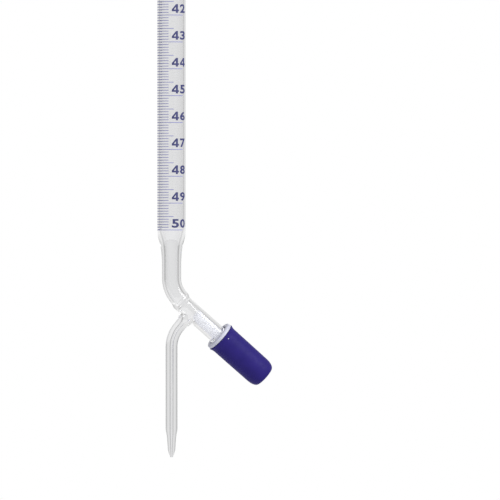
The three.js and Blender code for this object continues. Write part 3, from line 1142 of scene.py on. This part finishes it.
def toward(azimuth, elevation):
    """The direction to a light, with azimuth 0 on the -Y side."""
    a, e = math.radians(azimuth), math.radians(elevation)
    return Vector((math.sin(a) * math.cos(e), -math.cos(a) * math.cos(e), math.sin(e)))


def vector_math(tree, operation, first, second=None):
    """A vector math node's output. second is an output or a plain vector."""
    node = tree.nodes.new("ShaderNodeVectorMath")
    node.operation = operation
    tree.links.new(first, node.inputs[0])
    if isinstance(second, bpy.types.NodeSocket):
        tree.links.new(second, node.inputs[1])
    elif second is not None:
        node.inputs[1].default_value = second
    return node.outputs["Value" if operation == "DOT_PRODUCT" else "Vector"]


def surround_colour(tree, direction):
    """The surround's grey in a direction. Only the azimuth counts."""
    flat = vector_math(tree, "NORMALIZE", vector_math(tree, "MULTIPLY", direction, (1, 1, 0)))
    azimuth = math.radians(VIEW_AZIMUTH)
    camera_side = (math.sin(azimuth), -math.cos(azimuth), 0)
    share = tree.nodes.new("ShaderNodeMapRange")
    share.inputs["From Min"].default_value = -1
    tree.links.new(vector_math(tree, "DOT_PRODUCT", flat, camera_side), share.inputs["Value"])
    ramp = tree.nodes.new("ShaderNodeValToRGB")
    ramp.color_ramp.interpolation = "EASE"
    stops = ramp.color_ramp.elements
    stops.remove(stops[1])
    for k, (place, level) in enumerate(SURROUND):
        stop = stops[0] if k == 0 else stops.new(place)
        stop.position = place
        stop.color = (level, level, level, 1)
    tree.links.new(share.outputs["Result"], ramp.inputs["Fac"])
    return ramp.outputs["Color"]


def key_glow(tree, direction):
    """A soft bright patch of the surround, round the key light."""
    glow = tree.nodes.new("ShaderNodeMapRange")
    glow.interpolation_type = "SMOOTHSTEP"
    glow.inputs["From Min"].default_value = math.cos(math.radians(KEY_SPREAD))
    glow.inputs["From Max"].default_value = math.cos(math.radians(KEY_SPREAD / 3))
    glow.inputs["To Max"].default_value = KEY_LEVEL
    toward_key = vector_math(tree, "DOT_PRODUCT", direction, toward(*KEY_FROM))
    tree.links.new(toward_key, glow.inputs["Value"])
    return glow.outputs["Result"]


def white_to_camera(tree, colour, level):
    """A colour, or for what the camera sees directly, a level of white."""
    choice = tree.nodes.new("ShaderNodeMix")
    choice.data_type = "RGBA"
    plain, seen = [socket for socket in choice.inputs if socket.type == "RGBA"]
    (made,) = [socket for socket in choice.outputs if socket.type == "RGBA"]
    seen.default_value = (level, level, level, 1)
    direct = tree.nodes.new("ShaderNodeLightPath").outputs["Is Camera Ray"]
    tree.links.new(direct, choice.inputs["Factor"])
    tree.links.new(colour, plain)
    return made


def studio_world():
    """A white surround. What the glass and the plastic see of it is grey, and darker at the sides, which
    gives the glass its grey edges."""
    world = bpy.data.worlds.new("studio")
    bpy.context.scene.world = world
    world.use_nodes = True
    tree = world.node_tree
    direction = tree.nodes.new("ShaderNodeTexCoord").outputs["Generated"]
    grey = surround_colour(tree, direction)
    lit = vector_math(tree, "ADD", grey, key_glow(tree, direction))
    tree.links.new(white_to_camera(tree, lit, 1), tree.nodes["Background"].inputs["Color"])


def softbox(name, target, direction, distance, size, power):
    data = bpy.data.lights.new(name, "AREA")
    data.shape = "RECTANGLE"
    data.size, data.size_y = size
    data.energy = power
    light = bpy.data.objects.new(name, data)
    away = toward(*direction)
    light.location = target + away * distance
    light.visible_transmission = False
    light.rotation_mode = "QUATERNION"
    light.rotation_quaternion = away.to_track_quat("Z", "Y")
    bpy.context.scene.collection.objects.link(light)


def studio_floor():
    mesh = bpy.data.meshes.new("floor")
    work = bmesh.new()
    bmesh.ops.create_circle(work, cap_ends=True, segments=96, radius=FLOOR_RADIUS)
    work.to_mesh(mesh)
    work.free()
    floor = bpy.data.objects.new("floor", mesh)
    floor.location.z = FLOOR_Z * MM
    bpy.context.scene.collection.objects.link(floor)
    finish = Finish("pale_floor", Roughness=0.9, Specular_IOR_Level=0.1, Emission_Strength=0.85)
    grey = surround_colour(finish.tree, finish.place)
    shown = white_to_camera(finish.tree, grey, 1)
    finish.link(shown, finish.shader.inputs["Emission Color"])
    finish.colours(finish.noise(60, 2), (0.29, 0.29, 0.29), (0.31, 0.31, 0.31))
    mesh.materials.append(finish.material)


# ---- The scene -----------------------------------------------------------------------------------

glass_body(glass_finish())
INK = ink_finish("blue_enamel", (0.052, 0.056, 0.175), (0.064, 0.069, 0.21))
THIN_INK = ink_finish("blue_enamel_thin", (0.20, 0.21, 0.54), (0.25, 0.26, 0.62))
printed_scale(INK, THIN_INK)
valve_spindle(ptfe_finish())
RUBBER = rubber_finish()
for side, place in O_RING_PLACES.items():
    o_ring(f"seal_ring_{side}", f"o_ring_{side}", place, RUBBER)
finish_cad_node("retaining_ring", clip_finish())
WHITE = white_finish()
cap_liner(WHITE)
# The pale pip on the cap is a painted highlight.
gate_mark(WHITE)
handle_cap(blue_finish())

studio_camera()
studio_world()
studio_floor()
VALVE = VERTEX + ALONG * KEY_AIM
softbox("key", VALVE, KEY_FROM, KEY_DISTANCE, KEY_SIZE, KEY_POWER)
bpy.context.scene.view_settings.view_transform = "Standard"
